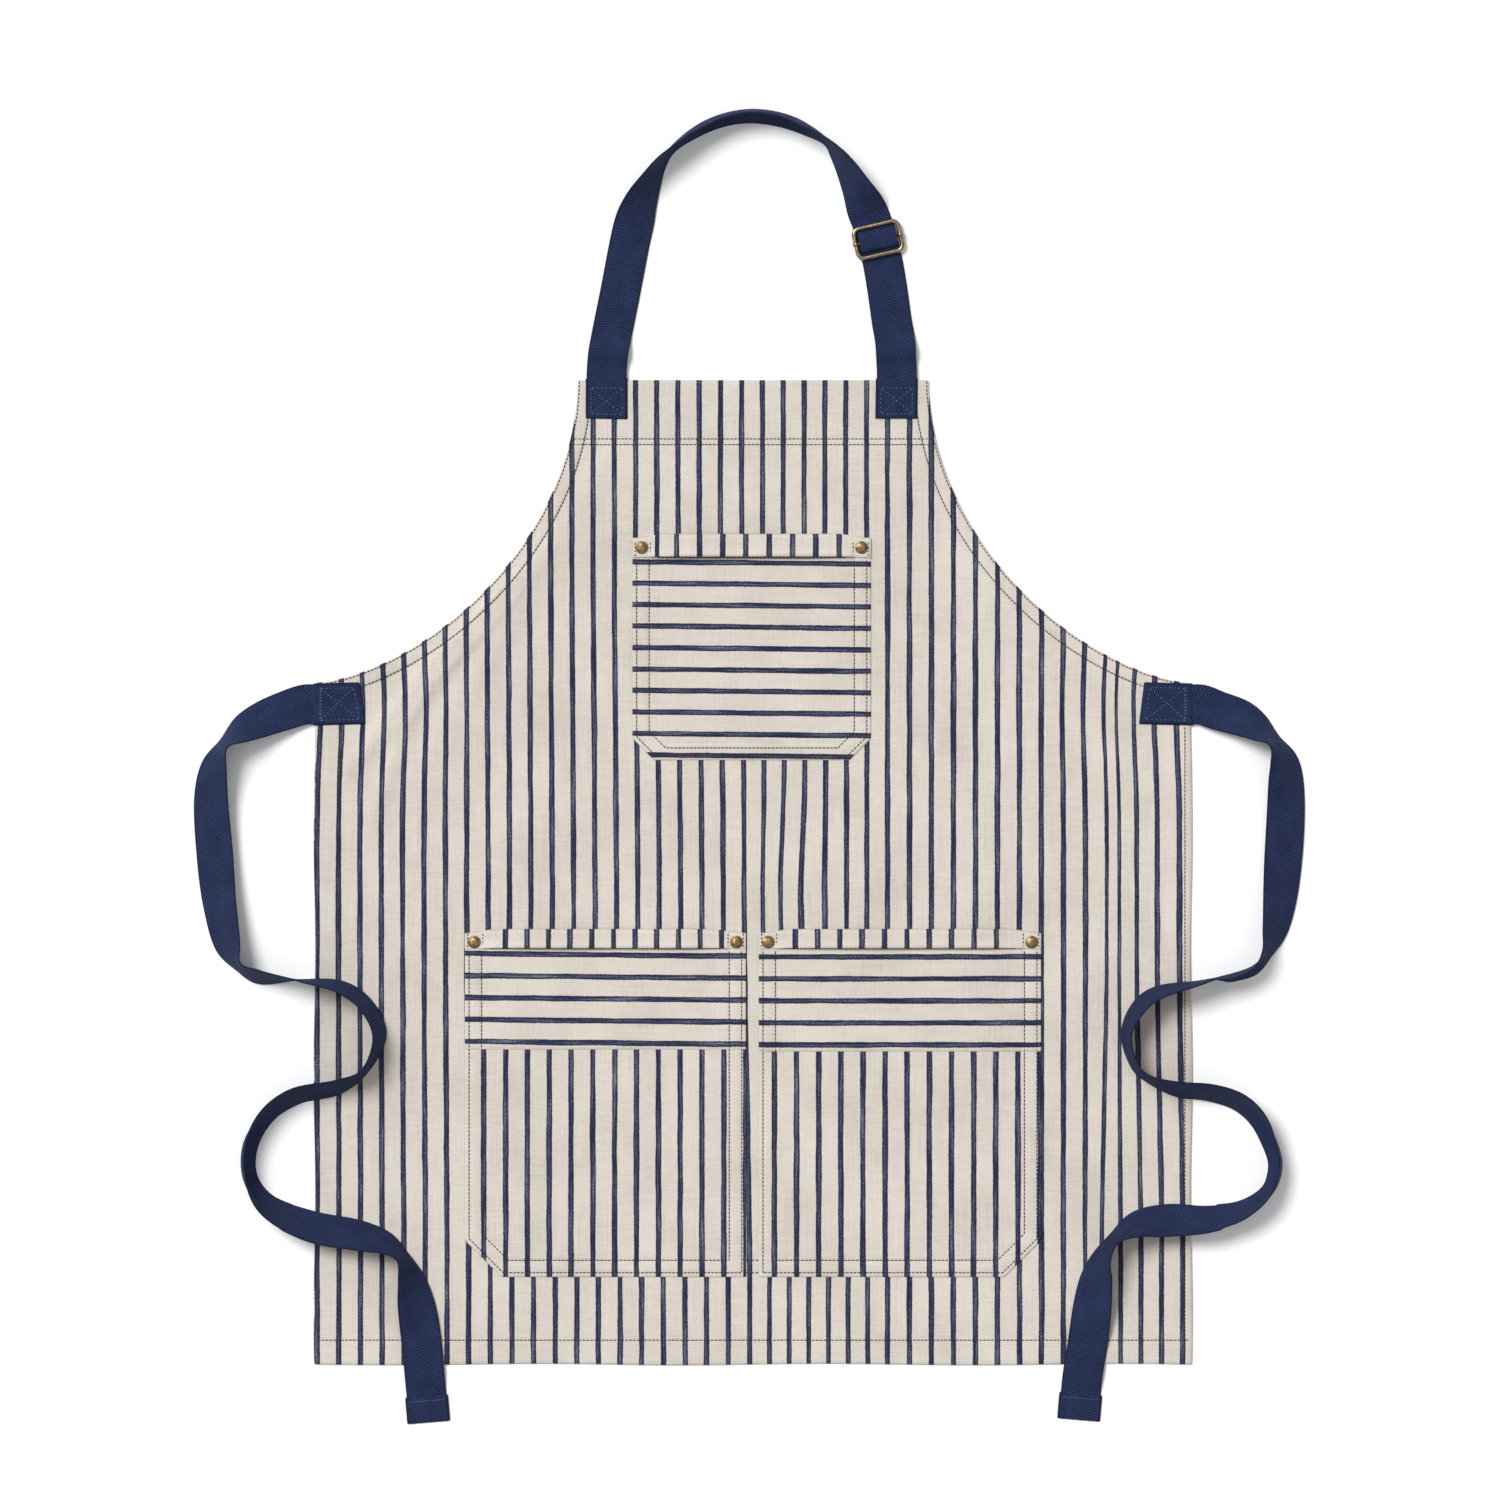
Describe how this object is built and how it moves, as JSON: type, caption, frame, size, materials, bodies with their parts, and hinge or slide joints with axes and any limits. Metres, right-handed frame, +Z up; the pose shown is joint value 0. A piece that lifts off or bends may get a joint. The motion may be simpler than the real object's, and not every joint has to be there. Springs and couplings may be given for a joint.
{
  "type": "butcher apron",
  "caption": "Bib apron of striped canvas lying flat, with a chest pocket, lower pockets, a neck strap adjusted by a wire slider buckle, and loose webbing waist ties.",
  "frame": {"origin": "middle of the main panel's width and length, on the surface it lies on", "axes": "+Y from the bottom hem to the neck, +X to the viewer's right looking at the front, +Z up out of the front"},
  "size_m": [0.888, 1.0529, 0.0344],
  "materials": {
    "canvas": "matt off-white cotton canvas with thin navy stripes",
    "webbing": "matt navy cotton herringbone webbing",
    "rivet_brass": "aged, satin",
    "buckle_brass": "antique, half polished"
  },
  "bodies": {
    "apron": {"body_panel": "canvas", "bib_facing": "canvas", "armhole_facing_left": "canvas", "armhole_facing_right": "canvas", "chest_pocket_panel": "canvas", "chest_pocket_band": "canvas", "left_pocket_panel": "canvas", "left_pocket_yoke": "canvas", "left_pocket_band": "canvas", "right_pocket_panel": "canvas", "right_pocket_yoke": "canvas", "right_pocket_band": "canvas", "rivet_caps": "rivet_brass", "rivet_posts": "rivet_brass", "rivet_backs": "rivet_brass", "neck_strap_sewn_end_left": "webbing", "neck_strap_sewn_end_right": "webbing", "waist_tie_sewn_end_left": "webbing", "waist_tie_sewn_end_right": "webbing"},
    "neck_loop": {"neck_strap_long": "webbing", "neck_strap_short": "webbing"},
    "buckle": {"buckle_frame": "buckle_brass", "buckle_centre_bar": "buckle_brass", "neck_strap_bight": "webbing", "neck_strap_anchor_loop": "webbing"},
    "tie_left": {"waist_tie_left": "webbing", "waist_tie_end_hem_left": "webbing"},
    "tie_right": {"waist_tie_right": "webbing", "waist_tie_end_hem_right": "webbing"}
  },
  "joints": [
    {"name": "neck_loop_fold", "type": "hinge", "parent": "apron", "child": "neck_loop", "pos_m": [0, 0.39315, 0.0048], "axis": [1, 0, 0], "range_deg": [0, 160]},
    {"name": "buckle_slide", "type": "slide", "parent": "neck_loop", "child": "buckle", "axis": [0.19, -0.9818, 0], "range_m": [-0.004, 0.055]},
    {"name": "tie_left_swing", "type": "hinge", "parent": "apron", "child": "tie_left", "pos_m": [-0.35015, 0.15015, 0.0035], "axis": [0, 0, -1], "range_deg": [0, 40]},
    {"name": "tie_right_swing", "type": "hinge", "parent": "apron", "child": "tie_right", "pos_m": [0.35015, 0.15015, 0.0035], "axis": [0, 0, 1], "range_deg": [0, 40]}
  ]
}
